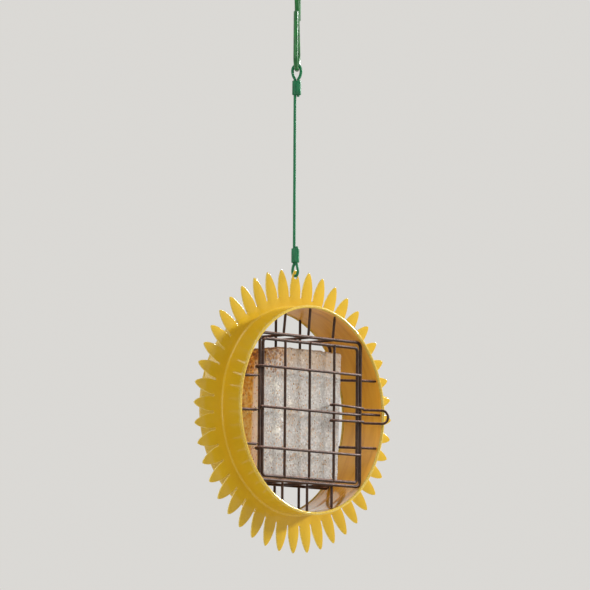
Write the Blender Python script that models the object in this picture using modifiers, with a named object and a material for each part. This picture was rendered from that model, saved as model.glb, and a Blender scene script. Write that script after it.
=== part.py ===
"""Sunflower suet feeder: a hinged wire cage in a petalled steel ring, hung from an S hook by a cable.

The origin is the hook's seat, +Z up, and the cage door faces -Y.
"""

import math

import bmesh
import bpy
from mathutils import Vector, noise

for old in list(bpy.data.objects):
    bpy.data.objects.remove(old, do_unlink=True)

# Clearances and facets
weld_gap = 0.0003
merge_distance = 0.00001
smooth_angle = math.radians(40)

# Ring band: a rolled tube round the cage, with a hemmed rim at each end
band_sheet = 0.0011
cage_corner_gap = 0.0003
rim_ahead = 0.003
rim_behind = 0.0026
hem_radius = 0.0013
band_steps = 88
hem_steps = 6

# Petal flange: a flat pressed ring round the band
petals = 44
flange_sheet = 0.0012
flange_width = 0.010
petal_length = 0.0229
slot_width = 0.0016
petal_shoulder_share = 0.33
petal_taper_power = 1.7
petal_tip_half_width = 0.0008
petal_flank_shares = (0.0, 0.17, 0.33, 0.5, 0.66, 0.8, 0.91, 0.98)
cable_hole_radius = 0.0022
cable_hole_share = 0.738
hole_steps = 16

# Cage: two square frames and the round wires welded to them
frame_wire = 0.00135
grid_wire = 0.00115
frame_half = 0.06225
frame_corner = 0.005
front_frame_y = -0.019
back_frame_y = 0.017
bend_steps = 4

# Level hoops, which lean a little to the left and the front because they were set by hand
hoop_pitch_share = 0.466
hoop_middle_z = -0.0015
hoop_rise_share = 0.033
hoop_climb = 0.0028
flare_inset = 0.0007
flare_bend = 0.00125

# Wires that run up and down or front to back, in three columns
column_pitch_share = 0.488
back_column_share = 0.482
low_stay_inset = 0.003

# Door: it lies inside the front frame, in the same plane, and hangs a little low there
door_side_gap = 0.00115
door_top_gap = 0.0015
door_sag = 0.0008
door_corner = 0.0035
door_column_share = 0.4865
door_column_shift = -0.0014
rail_pitch_share = 0.5542
rail_eye_sweep = math.radians(215)
rail_eye_drop = 0.0012
rail_eye_steps = 10
middle_rail_overhang = 0.00095

# Latch: a loop of wire on the right door upright, with a tab bent forward for the finger
latch_wire = 0.0011
latch_top_z = 0.0064
latch_low_z = -0.0071
latch_eye_sweep = math.radians(250)
latch_eye_steps = 10
latch_end_half = 0.0057
latch_end_z = -0.0004
latch_kink_back = 0.0015
latch_kink_drop = 0.0010
latch_kink_run = 0.0018
latch_tab_length = 0.0225
latch_tab_angle = math.radians(29)
latch_bend = 0.0012
latch_bend_steps = 2
latch_end_steps = 5

# Suet cake
suet_left_gap = 0.00725
suet_right_gap = 0.0208
suet_front_gap = 0.00245
suet_back_gap = 0.00035
suet_top_gap = 0.0102
suet_corner = 0.003
suet_cells = 9
suet_lump = 0.0009
suet_lump_scale = 0.017
suet_seed = 7.0
crumble_reach = 0.022
crumble_depth = 0.003

# Hanger cable and its ferrules
cable_wire = 0.00125
cable_drop = 0.17875
cable_step = 0.0066
lower_loop_half = 0.0030
loop_round_steps = 4
loop_shoulder_share = 0.3
loop_neck_share = 0.64
loop_neck_width_share = 0.5
curve_steps = 2
ferrule_lead = 0.0012
cut_end = 0.0015
ferrule_wall = 0.0009
ferrule_height = 0.0124
lower_ferrule_rise = 0.01145
upper_ferrule_fall = 0.0098
ferrule_round_steps = 8

# S hook
hook_wire = 0.0020
hook_bend = 0.011
hook_drop = 0.091
hook_tip_reach = 0.0515
hook_turn = math.radians(38)
hook_bend_steps = 8
hook_shank_bend = 0.012
hook_shank_rise = 0.0025
hook_shank_steps = 2

# Places worked out from the sizes above
lap = frame_wire + weld_gap + grid_wire
rail_y = front_frame_y - lap
door_upright_y = rail_y + 2 * grid_wire + weld_gap
door_half_width = frame_half - 2 * frame_wire - door_side_gap
door_half_height = frame_half - 2 * frame_wire - door_top_gap
door_column_pitch = frame_half * door_column_share
hoop_side_x = frame_half + lap
hoop_back_y = back_frame_y + lap
back_upright_y = hoop_back_y + 2 * grid_wire + weld_gap
flare_y = front_frame_y + flare_inset
low_stay_y = front_frame_y + low_stay_inset
column_pitch = frame_half * column_pitch_share
back_column_pitch = frame_half * back_column_share
hoop_pitch = frame_half * hoop_pitch_share
rail_pitch = frame_half * rail_pitch_share
latch_eye_radius = grid_wire + weld_gap + latch_wire
latch_x = door_column_shift + door_column_pitch

cage_corner_reach = (frame_half - frame_corner) * math.sqrt(2) + frame_corner + frame_wire
wall_inside = (cage_corner_reach + cage_corner_gap) * math.cos(math.pi / band_steps) - weld_gap
band_radius = cage_corner_reach + cage_corner_gap + band_sheet
band_front = rim_ahead - front_frame_y
band_rear = back_upright_y + rim_behind
petal_root_radius = band_radius + flange_width
petal_tip_radius = petal_root_radius + petal_length
cable_hole_height = petal_root_radius + petal_length * cable_hole_share

strand_half = cable_wire + weld_gap / 2
upper_loop_half = hook_wire + cable_wire + weld_gap
hook_low = -hook_drop
hole_slack = cable_hole_radius - cable_wire - weld_gap
hole_pivot_z = hook_low - cable_drop
ring_z = hole_pivot_z - hole_slack - cable_hole_height

suet_floor = grid_wire + weld_gap - frame_half
suet_left = suet_left_gap - frame_half
suet_right = frame_half - suet_right_gap
suet_top = frame_half - suet_top_gap
suet_front = front_frame_y + frame_wire + suet_front_gap
suet_back = back_frame_y - frame_wire - suet_back_gap

ring_centre = Vector((0, 0, ring_z))
hook_axis = Vector((math.cos(hook_turn), math.sin(hook_turn), 0))
hook_across = Vector((math.sin(hook_turn), -math.cos(hook_turn), 0))


def new_collection(name):
    collection = bpy.data.collections.new(name)
    bpy.context.scene.collection.children.link(collection)
    return collection


feeder = new_collection("suet_feeder")


def linear(hex_colour):
    """The linear colour of an sRGB hex value."""
    channels = [int(hex_colour[i : i + 2], 16) / 255 for i in (1, 3, 5)]
    return [c / 12.92 if c <= 0.04045 else ((c + 0.055) / 1.055) ** 2.4 for c in channels] + [1.0]


finishes = {
    "yellow_enamel": ("#EDBE1C", 0.32, 0.0),
    "brown_coating": ("#4E3A2E", 0.42, 0.0),
    "suet": ("#B9AD9E", 0.75, 0.0),
    "green_coating": ("#0E6A3C", 0.38, 0.0),
    "green_ferrule": ("#12744A", 0.34, 0.0),
    "green_hook": ("#1E8A3C", 0.18, 0.0),
}


def new_material(name, finish):
    colour, roughness, metallic = finishes[finish]
    material = bpy.data.materials.new(name)
    material.use_nodes = True
    shader = material.node_tree.nodes["Principled BSDF"]
    shader.inputs["Base Color"].default_value = linear(colour)
    shader.inputs["Roughness"].default_value = roughness
    shader.inputs["Metallic"].default_value = metallic
    material.diffuse_color = linear(colour)
    return material


pivots = {}


def new_pivot(name, at, parent=None):
    """An empty on a joint's axis, at a place in the whole feeder's frame."""
    empty = bpy.data.objects.new(name, None)
    empty.empty_display_size = hook_bend
    feeder.objects.link(empty)
    if parent:
        empty.parent = pivots[parent][0]
        empty.location = at - pivots[parent][1]
    else:
        empty.location = at
    pivots[name] = (empty, at)


new_pivot("hook_pivot", Vector((0, 0, 0)))
new_pivot("hanger_pivot", Vector((0, 0, hook_low)), "hook_pivot")
new_pivot("feeder_pivot", Vector((0, 0, hole_pivot_z)), "hanger_pivot")
new_pivot("door_pivot", ring_centre + Vector((-frame_half, front_frame_y, 0)), "feeder_pivot")
new_pivot("latch_pivot", ring_centre + Vector((latch_x, door_upright_y, 0)), "door_pivot")


def place(obj, finish, pivot, at):
    """Gives a finished object its material and its place under a pivot."""
    feeder.objects.link(obj)
    obj.data.materials.append(new_material(obj.name, finish))
    obj.parent = pivots[pivot][0]
    obj.location = at - pivots[pivot][1]
    if obj.type == "MESH":
        obj.data.shade_smooth()
        obj.data.set_sharp_from_angle(angle=smooth_angle)


def filleted(corners, bends):
    """Points along straight runs whose inner corners are rounded, each with its own (radius, steps)."""
    corners = [Vector(c) for c in corners]
    points = [corners[0]]
    for i, (radius, steps) in enumerate(bends, start=1):
        here = corners[i]
        before = (corners[i - 1] - here).normalized()
        after = (corners[i + 1] - here).normalized()
        half = before.angle(after) / 2
        centre = here + (before + after).normalized() * (radius / math.sin(half))
        start = here + before * (radius / math.tan(half)) - centre
        end = here + after * (radius / math.tan(half)) - centre
        turn = start.angle(end)
        for k in range(steps + 1):
            share = k / steps
            mix = start * math.sin((1 - share) * turn) + end * math.sin(share * turn)
            points.append(centre + mix / math.sin(turn))
    points.append(corners[-1])
    spaced = points[:1]
    for point in points[1:]:
        if (point - spaced[-1]).length > merge_distance:
            spaced.append(point)
    return spaced


def arc(centre, radius, start, sweep, steps, drop=0.0):
    """Points round a vertical axis, sinking by drop over the sweep."""
    points = []
    for k in range(steps + 1):
        share = k / steps
        angle = start + sweep * share
        turn = Vector((math.cos(angle), math.sin(angle), 0)) * radius
        points.append(centre + turn - Vector((0, 0, drop * share)))
    return points


def wire(name, points, radius, finish, pivot, at, cyclic=False):
    """A round wire along points, with flat ends."""
    data = bpy.data.curves.new(name, "CURVE")
    data.dimensions = "3D"
    data.bevel_depth = radius
    data.bevel_resolution = 2
    data.use_fill_caps = True
    spline = data.splines.new("POLY")
    spline.points.add(len(points) - 1)
    for target, point in zip(spline.points, points):
        target.co = (*point, 1)
    spline.use_cyclic_u = cyclic
    spline.use_smooth = True
    place(bpy.data.objects.new(name, data), finish, pivot, at)


def rectangle(half_width, half_height, corner, y):
    """A closed rectangle with round corners that stands in a plane of constant y."""
    points = []
    for quarter, (side_x, side_z) in enumerate(((1, 1), (-1, 1), (-1, -1), (1, -1))):
        for k in range(bend_steps + 1):
            angle = math.pi / 2 * (quarter + k / bend_steps)
            x = side_x * (half_width - corner) + corner * math.cos(angle)
            z = side_z * (half_height - corner) + corner * math.sin(angle)
            points.append(Vector((x, y, z)))
    return points


def flat_plate(name, outlines, thickness):
    """A plate from closed outlines of (x, y) points, the first one outside and the others holes."""
    data = bpy.data.curves.new(name, "CURVE")
    data.dimensions = "2D"
    data.fill_mode = "BOTH"
    data.extrude = thickness / 2
    for outline in outlines:
        spline = data.splines.new("POLY")
        spline.points.add(len(outline) - 1)
        for target, (x, y) in zip(spline.points, outline):
            target.co = (x, y, 0, 1)
        spline.use_cyclic_u = True
    return bpy.data.objects.new(name, data)


def circle(radius, steps, centre_y=0.0):
    angles = [2 * math.pi * k / steps for k in range(steps)]
    return [(radius * math.cos(a), centre_y + radius * math.sin(a)) for a in angles]


def build_band():
    """The tube's wall with both hems, turned round the ring's axis."""
    middle = band_radius - band_sheet / 2
    opening = math.asin(band_sheet / 2 / hem_radius)
    profile = []
    for depth, side in ((band_front, 1), (-band_rear, -1)):
        for k in range(hem_steps + 1):
            angle = (math.pi - opening) * (2 * k / hem_steps - 1) * side
            profile.append((middle + hem_radius * math.sin(angle), depth + side * hem_radius * math.cos(angle)))
    mesh = bpy.data.meshes.new("ring_band")
    edges = [(i, (i + 1) % len(profile)) for i in range(len(profile))]
    mesh.from_pydata([(r, 0, z) for r, z in profile], edges, [])
    obj = bpy.data.objects.new("ring_band", mesh)
    screw = obj.modifiers.new("turn", "SCREW")
    screw.axis = "Z"
    screw.steps = band_steps
    screw.render_steps = band_steps
    screw.use_merge_vertices = True
    screw.merge_threshold = merge_distance
    screw.use_smooth_shade = True
    place(obj, "yellow_enamel", "feeder_pivot", ring_centre)
    obj.rotation_euler.x = math.pi / 2


def petal_half_width(share):
    """Half the width of a petal at a share of the way from the slot's end to the tip."""
    radius = petal_root_radius + share * (petal_tip_radius - petal_root_radius)
    shoulder = petal_root_radius + petal_shoulder_share * (petal_tip_radius - petal_root_radius)
    full = math.pi * min(radius, shoulder) / petals - slot_width / 2
    if share <= petal_shoulder_share:
        return full
    beyond = (share - petal_shoulder_share) / (1 - petal_shoulder_share)
    return full * (1 - beyond**petal_taper_power)


def build_flange():
    length = petal_tip_radius - petal_root_radius
    half = []
    for share in petal_flank_shares:
        width = max(petal_half_width(share), petal_tip_half_width)
        half.append((petal_root_radius + share * length, width))
    flank = [(r, -w) for r, w in half] + [(petal_tip_radius, 0.0)] + list(reversed(half))
    outline = []
    for petal in range(petals):
        angle = math.pi / 2 + 2 * math.pi * petal / petals
        for radius, aside in flank:
            x = radius * math.cos(angle) - aside * math.sin(angle)
            y = radius * math.sin(angle) + aside * math.cos(angle)
            outline.append((x, y))
        # The slot after this petal ends in a half round
        between = angle + math.pi / petals
        for turn in (-math.pi / 4, 0, math.pi / 4):
            inward = petal_root_radius - slot_width / 2 * math.cos(turn)
            aside = slot_width / 2 * math.sin(turn)
            x = inward * math.cos(between) - aside * math.sin(between)
            y = inward * math.sin(between) + aside * math.cos(between)
            outline.append((x, y))
    bore = circle(band_radius + weld_gap, band_steps)
    cable_hole = circle(cable_hole_radius, hole_steps, cable_hole_height)
    obj = flat_plate("petal_flange", (outline, bore, cable_hole), flange_sheet)
    place(obj, "yellow_enamel", "feeder_pivot", ring_centre)
    obj.rotation_euler.x = math.pi / 2


def brown_wire(name, points, radius, pivot="feeder_pivot", cyclic=False):
    wire(name, points, radius, "brown_coating", pivot, ring_centre, cyclic)


def wall_reach(offset):
    """How far a wire's end can go before it meets the band's wall, this far beside the ring's middle."""
    return math.sqrt(wall_inside**2 - (abs(offset) + grid_wire) ** 2)


def build_cage_frames():
    for name, y in (("cage_front_frame", front_frame_y), ("cage_back_frame", back_frame_y)):
        brown_wire(name, rectangle(frame_half, frame_half, frame_corner, y), frame_wire, cyclic=True)


def build_hoops():
    """Level wires round the sides and the back. Their front ends turn outward and stop at the band."""
    for step, name in ((1, "upper"), (0, "middle"), (-1, "lower")):
        middle = hoop_middle_z + step * hoop_pitch
        half_path = []
        for side in (-1, 1):
            end_x = side * wall_reach(middle + side * hoop_rise_share * wall_inside)
            side_x = side * hoop_side_x
            stops = [(end_x, flare_y, 0.0), (side_x, flare_y, 0.0), (side_x, hoop_back_y, hoop_climb)]
            half_path.append([Vector((x, y, middle + hoop_rise_share * x + climb)) for x, y, climb in stops])
        path = half_path[0] + list(reversed(half_path[1]))
        flare = (flare_bend, bend_steps)
        corner = (lap, bend_steps)
        brown_wire(f"cage_hoop_{name}", filleted(path, (flare, corner, corner, flare)), grid_wire)


def build_columns():
    """Three columns of straight wires: behind the cage, over its roof, under its floor, and to the ring."""
    stay_top = frame_half + grid_wire + 2 * weld_gap
    stay_low = frame_half + grid_wire + weld_gap
    wire_front = front_frame_y + frame_wire + weld_gap
    wire_back = back_frame_y - frame_wire - weld_gap
    for step, name in ((-1, "left"), (0, "middle"), (1, "right")):
        x = step * back_column_pitch
        reach = wall_reach(x)
        ends = [Vector((x, back_upright_y, -reach)), Vector((x, back_upright_y, reach))]
        brown_wire(f"back_upright_{name}", ends, grid_wire)
        x = step * column_pitch
        reach = wall_reach(x)
        for part, z in (("roof", frame_half), ("floor", -frame_half)):
            ends = [Vector((x, wire_front, z)), Vector((x, wire_back, z))]
            brown_wire(f"{part}_wire_{name}", ends, grid_wire)
        ends = [Vector((x, front_frame_y + lap, stay_top)), Vector((x, flare_y, reach))]
        brown_wire(f"top_stay_{name}", ends, grid_wire)
        ends = [Vector((x, low_stay_y, -stay_low)), Vector((x, low_stay_y, -reach))]
        brown_wire(f"bottom_stay_{name}", ends, grid_wire)


def build_door():
    sag = Vector((0, 0, -door_sag))
    frame = rectangle(door_half_width, door_half_height, door_corner, front_frame_y)
    brown_wire("door_frame", [point + sag for point in frame], frame_wire, "door_pivot", cyclic=True)
    for step, name in ((-1, "left"), (0, "middle"), (1, "right")):
        x = door_column_shift + step * door_column_pitch
        end_z = door_half_height - frame_wire - weld_gap
        ends = [Vector((x, door_upright_y, side * end_z)) + sag for side in (-1, 1)]
        brown_wire(f"door_upright_{name}", ends, grid_wire, "door_pivot")
    rail_end_x = door_half_width + frame_wire
    for step, name in ((1, "upper"), (0, "middle"), (-1, "lower")):
        z = step * rail_pitch
        points = [Vector((rail_end_x, rail_y, z))]
        if step:
            # The eye starts in front of the front frame's side and goes round behind it
            hinge = Vector((-frame_half, front_frame_y, z))
            points += arc(hinge, lap, -math.pi / 2, -rail_eye_sweep, rail_eye_steps, rail_eye_drop)
        else:
            points.append(Vector((-frame_half - middle_rail_overhang, rail_y, z)))
        brown_wire(f"door_rail_{name}", [point + sag for point in points], grid_wire, "door_pivot")


def build_latch():
    """A U of wire with an open eye on each leg, kinked beside the front frame and bent forward as a tab."""
    leg_y = door_upright_y - latch_eye_radius
    kink_x = frame_half + frame_wire + weld_gap + latch_wire
    tab = Vector((math.cos(latch_tab_angle), -math.sin(latch_tab_angle), 0)) * latch_tab_length
    halves = []
    for side, eye_z in ((1, latch_top_z), (-1, latch_low_z)):
        end_z = latch_end_z + side * latch_end_half
        centre = Vector((latch_x, door_upright_y, eye_z))
        eye = arc(centre, latch_eye_radius, -math.pi / 2 - latch_eye_sweep, latch_eye_sweep, latch_eye_steps)
        kink = Vector((kink_x, leg_y + latch_kink_back, end_z - latch_kink_drop))
        leg = [eye[-1], Vector((kink_x - latch_kink_run, leg_y, end_z)), kink, kink + tab]
        halves.append((eye, leg))
    (top_eye, top_leg), (low_eye, low_leg) = halves
    bend = (latch_bend, latch_bend_steps)
    end = (latch_end_half, latch_end_steps)
    loop = filleted(top_leg + list(reversed(low_leg)), (bend, bend, end, end, bend, bend))
    points = top_eye + loop[1:-1] + list(reversed(low_eye))
    brown_wire("latch_loop", points, latch_wire, "latch_pivot")


def build_suet():
    """A pressed block with worn corners and a lumpy skin, one top corner crumbled away."""
    low = Vector((suet_left, suet_front, suet_floor))
    high = Vector((suet_right, suet_back, suet_top))
    half = (high - low) / 2
    cake = bmesh.new()
    bmesh.ops.create_cube(cake, size=1.0)
    bmesh.ops.scale(cake, vec=half * 2, verts=cake.verts)
    bmesh.ops.subdivide_edges(cake, edges=cake.edges, cuts=suet_cells, use_grid_fill=True)
    crumble_from = Vector((-half.x, 0, half.z))
    for vert in cake.verts:
        core = Vector([max(-half[i] + suet_corner, min(half[i] - suet_corner, vert.co[i])) for i in range(3)])
        beyond = vert.co - core
        if beyond.length > suet_corner:
            vert.co = core + beyond.normalized() * suet_corner
        inward = Vector([-vert.co[i] / half[i] for i in range(3)]).normalized()
        bump = noise.noise(vert.co / suet_lump_scale + Vector((suet_seed, 0, 0)))
        vert.co += inward * suet_lump * (bump + 1) / 2
        away = Vector((vert.co.x, 0, vert.co.z)) - crumble_from
        near = max(0.0, 1 - away.length / crumble_reach)
        vert.co += Vector((near, 0, -near)) * crumble_depth
    mesh = bpy.data.meshes.new("suet_cake")
    cake.to_mesh(mesh)
    cake.free()
    place(bpy.data.objects.new("suet_cake", mesh), "suet", "feeder_pivot", ring_centre + (low + high) / 2)


def smooth_route(stops, longest):
    """Points on one smooth curve through the stops, no further apart than longest."""
    ends = [2 * stops[0] - stops[1], *stops, 2 * stops[-1] - stops[-2]]
    points = []
    for a, b, c, d in zip(ends, ends[1:], ends[2:], ends[3:]):
        # Knots go by the square root of each distance, so the curve never loops or overshoots
        t1 = math.sqrt((b - a).length)
        t2 = t1 + math.sqrt((c - b).length)
        t3 = t2 + math.sqrt((d - c).length)
        steps = max(curve_steps, math.ceil((c - b).length / longest))
        for k in range(steps):
            t = t1 + (t2 - t1) * k / steps
            ab = a.lerp(b, t / t1)
            bc = b.lerp(c, (t - t1) / (t2 - t1))
            cd = c.lerp(d, (t - t2) / (t3 - t2))
            abc = ab.lerp(bc, t / t2)
            bcd = bc.lerp(cd, (t - t1) / (t3 - t1))
            points.append(abc.lerp(bcd, (t - t1) / (t2 - t1)))
    return points + [stops[-1]]


def loop_stops(centre, up, half, fall, across):
    """Route points of a closed loop: out of its ferrule, round a half circle and back to the ferrule."""
    neck_half = strand_half + (half - strand_half) * loop_neck_width_share
    side = [
        (-fall, strand_half),
        (ferrule_lead - fall, strand_half),
        (-fall * loop_neck_share, neck_half),
        (-fall * loop_shoulder_share, half),
    ]
    stops = [centre + up * along - across * aside for along, aside in side]
    for k in range(loop_round_steps + 1):
        angle = math.pi * (1 - k / loop_round_steps)
        stops.append(centre + up * (half * math.sin(angle)) + across * (half * math.cos(angle)))
    return stops + [centre + up * along + across * aside for along, aside in reversed(side)]


def build_cable():
    """One unbroken cable: cut end, lower ferrule, petal hole, up to the upper ferrule, hook, cut end."""
    up = Vector((0, 0, 1))
    lower_across = Vector((0, 1, 0))
    lower_round = up * (hole_pivot_z + lower_loop_half)
    lower_fall = lower_ferrule_rise - lower_loop_half
    lower = loop_stops(lower_round, -up, lower_loop_half, lower_fall, lower_across)
    upper = loop_stops(up * hook_low, up, upper_loop_half, upper_ferrule_fall, hook_across)
    through = up * ferrule_height
    past = up * (ferrule_height + cut_end)
    stops = [lower[0] + past, *lower, lower[-1] + through, lower[-1] + past]
    stops += [upper[0] - past, upper[0] - through, *upper, upper[-1] - past]
    points = smooth_route(stops, cable_step)
    wire("hanger_cable", points, cable_wire, "green_coating", "hanger_pivot", Vector((0, 0, 0)))


def stadium(half_length, radius, steps):
    """A closed slot outline along x."""
    points = []
    for side in (1, -1):
        for k in range(steps + 1):
            angle = math.pi * (k / steps - 0.5)
            points.append((side * (half_length + radius * math.cos(angle)), side * radius * math.sin(angle)))
    return points


def build_ferrules():
    """Crimped double sleeves: an oval tube round two strands of the cable."""
    bore = cable_wire + weld_gap
    places = (
        ("lower_ferrule", hole_pivot_z + lower_ferrule_rise + ferrule_height / 2, math.pi / 2),
        ("upper_ferrule", hook_low - upper_ferrule_fall - ferrule_height / 2, hook_turn - math.pi / 2),
    )
    for name, z, turn in places:
        outline = stadium(strand_half, bore + ferrule_wall, ferrule_round_steps)
        hole = stadium(strand_half, bore, ferrule_round_steps)
        obj = flat_plate(name, (outline, hole), ferrule_height)
        place(obj, "green_ferrule", "hanger_pivot", Vector((0, 0, z)))
        obj.rotation_euler.z = turn


def build_hook():
    """An S of round wire in one upright plane, with its seat at the origin."""
    top = hook_wire
    shank_top = top - hook_bend - hook_shank_rise
    shank_low = hook_low + hook_bend + hook_shank_rise
    stops = [
        (-hook_bend, hook_low - hook_wire + hook_tip_reach),
        (-hook_bend, hook_low),
        (hook_bend, hook_low),
        (hook_bend, shank_low),
        (-hook_bend, shank_top),
        (-hook_bend, top),
        (hook_bend, top),
        (hook_bend, top + hook_wire - hook_tip_reach),
    ]
    round_bend = (hook_bend, hook_bend_steps)
    shank = (hook_shank_bend, hook_shank_steps)
    path = [hook_axis * along + Vector((0, 0, z)) for along, z in stops]
    points = filleted(path, (round_bend, round_bend, shank, shank, round_bend, round_bend))
    wire("hanger_hook", points, hook_wire, "green_hook", "hook_pivot", Vector((0, 0, 0)))


build_band()
build_flange()
build_cage_frames()
build_hoops()
build_columns()
build_door()
build_latch()
build_suet()
build_cable()
build_ferrules()
build_hook()
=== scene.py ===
"""Looks for a hanging suet feeder: a wire cage in a petalled ring, on a wire rope and an S hook."""

from functools import partial
from math import asin, ceil, cos, exp, pi, radians, sin, sqrt, tan

import bmesh
import bpy
from mathutils import Matrix, Quaternion, Vector, noise


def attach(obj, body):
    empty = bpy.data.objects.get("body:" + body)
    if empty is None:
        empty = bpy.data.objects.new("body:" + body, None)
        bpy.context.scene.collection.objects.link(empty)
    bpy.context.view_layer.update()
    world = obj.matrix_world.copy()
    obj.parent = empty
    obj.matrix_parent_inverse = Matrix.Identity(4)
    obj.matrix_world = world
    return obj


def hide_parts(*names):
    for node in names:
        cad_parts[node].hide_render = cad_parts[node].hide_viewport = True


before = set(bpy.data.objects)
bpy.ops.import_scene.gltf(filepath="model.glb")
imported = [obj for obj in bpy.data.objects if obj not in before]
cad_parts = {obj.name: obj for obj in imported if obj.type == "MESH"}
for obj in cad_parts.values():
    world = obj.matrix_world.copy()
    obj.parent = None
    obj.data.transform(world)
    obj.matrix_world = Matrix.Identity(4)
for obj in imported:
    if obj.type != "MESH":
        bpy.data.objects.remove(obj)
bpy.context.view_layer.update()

# The part's own sizes, in metres, as its source gives them
GAP = 0.0003
FRAME_WIRE = 0.00135
GRID_WIRE = 0.00115
LATCH_WIRE = 0.0011
FRAME_HALF = 0.06225
FRAME_CORNER = 0.005
FRONT_Y = -0.019
BACK_Y = 0.017
LAP = FRAME_WIRE + GAP + GRID_WIRE
RAIL_Y = FRONT_Y - LAP
DOOR_UPRIGHT_Y = RAIL_Y + 2 * GRID_WIRE + GAP
DOOR_HALF_WIDTH = FRAME_HALF - 2 * FRAME_WIRE - 0.00115
DOOR_HALF_HEIGHT = FRAME_HALF - 2 * FRAME_WIRE - 0.0015
DOOR_CORNER = 0.0035
DOOR_SAG = 0.0008
DOOR_COLUMN = FRAME_HALF * 0.4865
DOOR_COLUMN_SHIFT = -0.0014
DOOR_UPRIGHT_PAST = 0.0009
DOOR_UPRIGHT_PRESSED = 0.0004
RAIL_PITCH = FRAME_HALF * 0.5542
RAIL_PAST = 0.00095
HINGE_EYE_TURN = radians(215)
HINGE_EYE_DROP = 0.0012
LATCH_EYE_TURN = radians(250)
LATCH_EYE_TOP = 0.0064
LATCH_EYE_LOW = -0.0071
LATCH_END = 0.0057
LATCH_END_Z = -0.0004
LATCH_KINK = (0.0018, 0.0015, 0.0010)
LATCH_TAB = 0.0225
LATCH_TAB_BEND = radians(29)
HOOP_SIDE_X = FRAME_HALF + LAP
HOOP_BACK_Y = BACK_Y + LAP
BACK_UPRIGHT_Y = HOOP_BACK_Y + 2 * GRID_WIRE + GAP
FLARE_Y = FRONT_Y + 0.0007
LOW_STAY_Y = FRONT_Y + 0.003
COLUMN = FRAME_HALF * 0.488
BACK_COLUMN = FRAME_HALF * 0.482
HOOP_PITCH = FRAME_HALF * 0.466
HOOP_MIDDLE_Z = -0.0015
HOOP_RISE = 0.033
HOOP_CLIMB = 0.0028
BAND_SHEET = 0.0011
CORNER_REACH = (FRAME_HALF - FRAME_CORNER) * sqrt(2) + FRAME_CORNER + FRAME_WIRE
WALL_INSIDE = (CORNER_REACH + GAP) * cos(pi / 88) - GAP
BAND_RADIUS = CORNER_REACH + GAP + BAND_SHEET
BAND_FRONT = 0.003 - FRONT_Y
BAND_REAR = BACK_UPRIGHT_Y + 0.0026
HEM = 0.0013
FLANGE_SHEET = 0.0012
PETALS = 44
PETAL_ROOT = BAND_RADIUS + 0.010
PETAL_LENGTH = 0.0229
SLOT = 0.0016
HOLE_RADIUS = 0.0022
HOLE_HEIGHT = PETAL_ROOT + PETAL_LENGTH * 0.738
CABLE = 0.00125
ROPE_LAY = 0.014
ROPE_PAST = 0.0015
HOOK_WIRE = 0.0020
HOOK_BEND = 0.011
HOOK_TIP = 0.0515
HOOK_RISE = 0.0025
HOOK_LOW = -0.091
HOOK_TURN = radians(38)
STRAND = CABLE + GAP / 2
LOWER_HALF = 0.0030
UPPER_HALF = HOOK_WIRE + CABLE + GAP
LOWER_RISE = 0.01145
UPPER_FALL = 0.0098
FERRULE_HEIGHT = 0.0124
FERRULE_WALL = 0.0009
HOLE_PIVOT_Z = HOOK_LOW - 0.17875
RING = Vector((0, 0, HOLE_PIVOT_Z - (HOLE_RADIUS - CABLE - GAP) - HOLE_HEIGHT))
HOOK_AXIS = Vector((cos(HOOK_TURN), sin(HOOK_TURN), 0))
HOOK_ACROSS = Vector((sin(HOOK_TURN), -cos(HOOK_TURN), 0))
UP = Vector((0, 0, 1))
SUET_LOW = Vector((0.00725 - FRAME_HALF, FRONT_Y + FRAME_WIRE + 0.00245, GRID_WIRE + GAP - FRAME_HALF))
SUET_HIGH = Vector((FRAME_HALF - 0.02025, BACK_Y - FRAME_WIRE - 0.00035, FRAME_HALF - 0.0096))

# Sizes that only the looks have: facets, rounded edges and surface detail
TURNED_STEPS = 264
ROPE_SIDES = 30
ROPE_STEP, ROPE_LEAST = 0.0011, 4
WELD_BEAD = 0.00105
# Painted highlights on the tube's rims and on the fold, as strengths of the pale edge colour
RIM_HIGHLIGHT, FOLD_HIGHLIGHT = 0.6, 0.34
FOLD = 0.0017
FOLD_OVERLAP = 0.0002
EDGE_ROUND = 0.00048
PETAL_FULL_SHARE, PETAL_TAPER, PETAL_BLUNTNESS = 0.15, 1.6, 0.62
PUNCH_DEPTH = 0.01
FERRULE_PRESS, FERRULE_PRESS_REACH = 0.00052, 0.0006
SUET_CORNER, SUET_INSET = 0.003, 0.00035
SWELL, SWELLS_APART = 0.0002, 0.017
GRAIN, PECKED_GRAIN, GRAINS_APART = 0.00022, 0.0011, 0.0035
PIT_DEPTH, PITS_APART = 0.0022, 0.0052
PECKED_DEPTH, PECKED_REACH, TOP_REACH = 0.003, 0.022, 0.012
SUET_SHIFT, SUET_LEAN = 0.0004, 0.0020
SEED_BIT = 0.0006
SUET_SKIN_AREA = 0.0335
FLOOR_HALF, FLOOR_Z = 9.0, -1.25

# How near two places count as one
SAME_POINT, SAME_VERTEX, SECTORS_MEET = 0.00001, 0.000001, 0.000004

# Bends of wires, each with its radius and its steps
FLARE_BEND = (0.00125, 6)
HOOP_BEND = (LAP, 8)
LATCH_BEND = (0.0012, 4)
LATCH_END_BEND = (LATCH_END, 9)
HOOK_ROUND_BEND = (HOOK_BEND, 24)
SHANK_BEND = (0.012, 6)

COLUMNS = ((-1, "left"), (0, "middle"), (1, "right"))
ROWS = ((1, "upper"), (0, "middle"), (-1, "lower"))

# The kinds of node used most
COORDINATES, NOISE, VORONOI, RAMP, MAP, VECTOR, MIX, BUMP, SPLIT, CHANNELS = (
    f"ShaderNode{kind}" for kind in (
        "TexCoord", "TexNoise", "TexVoronoi", "ValToRGB", "MapRange", "VectorMath", "Mix", "Bump",
        "SeparateXYZ", "SeparateColor"))
SCATTER = "GeometryNodeInstanceOnPoints"
RANDOM = "FunctionNodeRandomValue"


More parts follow.
